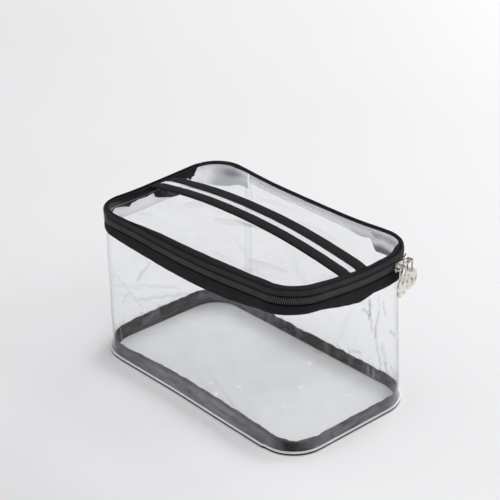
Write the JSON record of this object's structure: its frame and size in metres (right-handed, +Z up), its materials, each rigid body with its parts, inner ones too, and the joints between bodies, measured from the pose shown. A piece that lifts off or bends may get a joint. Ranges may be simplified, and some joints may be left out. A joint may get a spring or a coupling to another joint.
{
  "type": "clear zip makeup bag",
  "caption": "Clear rectangular makeup bag with rounded corners, a zip-round lid hinged along the back, black tape bindings, a strap handle on the lid and disc zip pulls.",
  "frame": {"origin": "centre of the base's rectangle, on the surface that the bag stands on", "axes": "+X to the right along the bag's length (the zip sliders rest at the right rear corner), +Y to the hinge side at the back, +Z up"},
  "size_m": [0.2481, 0.138, 0.1461],
  "materials": {
    "wall_panel": "clear, slightly hazy PVC film",
    "wall_join_strip": "clear, slightly hazy PVC film",
    "base_panel": "clear, slightly hazy PVC film",
    "base_binding": "black woven tape",
    "base_piping": "clear, slightly hazy PVC film",
    "lower_band": "black woven tape",
    "rim_facing": "black woven tape",
    "lower_zip_tape": "black woven tape",
    "lower_coil": "black nylon coil",
    "hinge_strip": "clear, slightly hazy PVC film",
    "zip_end_tab_right": "black woven tape",
    "zip_end_tab_left": "black woven tape",
    "lid_panel": "clear, slightly hazy PVC film",
    "lid_binding": "black woven tape",
    "upper_zip_tape": "black woven tape",
    "upper_coil": "black nylon coil",
    "handle_strap": "clear, slightly hazy PVC film",
    "handle_binding_front": "black woven tape",
    "handle_binding_rear": "black woven tape",
    "side_slider_body": "champagne-silver plated zinc",
    "side_slider_bail": "champagne-silver plated zinc",
    "side_pull_link": "champagne-silver plated zinc",
    "side_pull_disc": "champagne-silver plated zinc",
    "corner_slider_body": "champagne-silver plated zinc",
    "corner_slider_bail": "champagne-silver plated zinc",
    "corner_pull_link": "champagne-silver plated zinc",
    "corner_pull_disc": "champagne-silver plated zinc"
  },
  "bodies": {
    "case": {"wall_panel": "wall_panel", "wall_join_strip": "wall_join_strip", "base_panel": "base_panel", "base_binding": "base_binding", "base_piping": "base_piping", "lower_band": "lower_band", "rim_facing": "rim_facing", "lower_zip_tape": "lower_zip_tape", "lower_coil": "lower_coil", "hinge_strip": "hinge_strip", "zip_end_tab_right": "zip_end_tab_right", "zip_end_tab_left": "zip_end_tab_left"},
    "lid": {"lid_panel": "lid_panel", "lid_binding": "lid_binding", "upper_zip_tape": "upper_zip_tape", "upper_coil": "upper_coil", "handle_strap": "handle_strap", "handle_binding_front": "handle_binding_front", "handle_binding_rear": "handle_binding_rear"},
    "side_slider": {"side_slider_body": "side_slider_body", "side_slider_bail": "side_slider_bail"},
    "side_link": {"side_pull_link": "side_pull_link"},
    "side_disc": {"side_pull_disc": "side_pull_disc"},
    "corner_slider": {"corner_slider_body": "corner_slider_body", "corner_slider_bail": "corner_slider_bail"},
    "corner_link": {"corner_pull_link": "corner_pull_link"},
    "corner_disc": {"corner_pull_disc": "corner_pull_disc"}
  },
  "joints": [
    {"name": "lid_hinge", "type": "hinge", "parent": "case", "child": "lid", "pos_m": [0, 0.0673, 0.1343], "axis": [-1, 0, 0], "range_deg": [0, 180]},
    {"name": "side_slider_slide", "type": "slide", "parent": "case", "child": "side_slider", "axis": [0, -1, 0], "range_m": [0, 0.075]},
    {"name": "side_link_lift", "type": "hinge", "parent": "side_slider", "child": "side_link", "pos_m": [0.12473, 0.04368, 0.128], "axis": [0.309, -0.9511, 0], "range_deg": [0, 90]},
    {"name": "side_disc_swing", "type": "hinge", "parent": "side_link", "child": "side_disc", "pos_m": [0.12473, 0.04368, 0.1195], "axis": [0.9511, 0.309, 0], "range_deg": [-60, 0]},
    {"name": "corner_slider_turn", "type": "hinge", "parent": "case", "child": "corner_slider", "pos_m": [0.089, 0.038, 0.128], "axis": [0, 0, 1], "range_deg": [0, 8]},
    {"name": "corner_link_swing", "type": "hinge", "parent": "corner_slider", "child": "corner_link", "pos_m": [0.1197, 0.05718, 0.128], "axis": [0.9962, 0.0872, 0], "range_deg": [0, 25]},
    {"name": "corner_disc_swing", "type": "hinge", "parent": "corner_link", "child": "corner_disc", "pos_m": [0.1197, 0.05718, 0.1195], "axis": [0.9962, 0.0872, 0], "range_deg": [0, 25]}
  ]
}
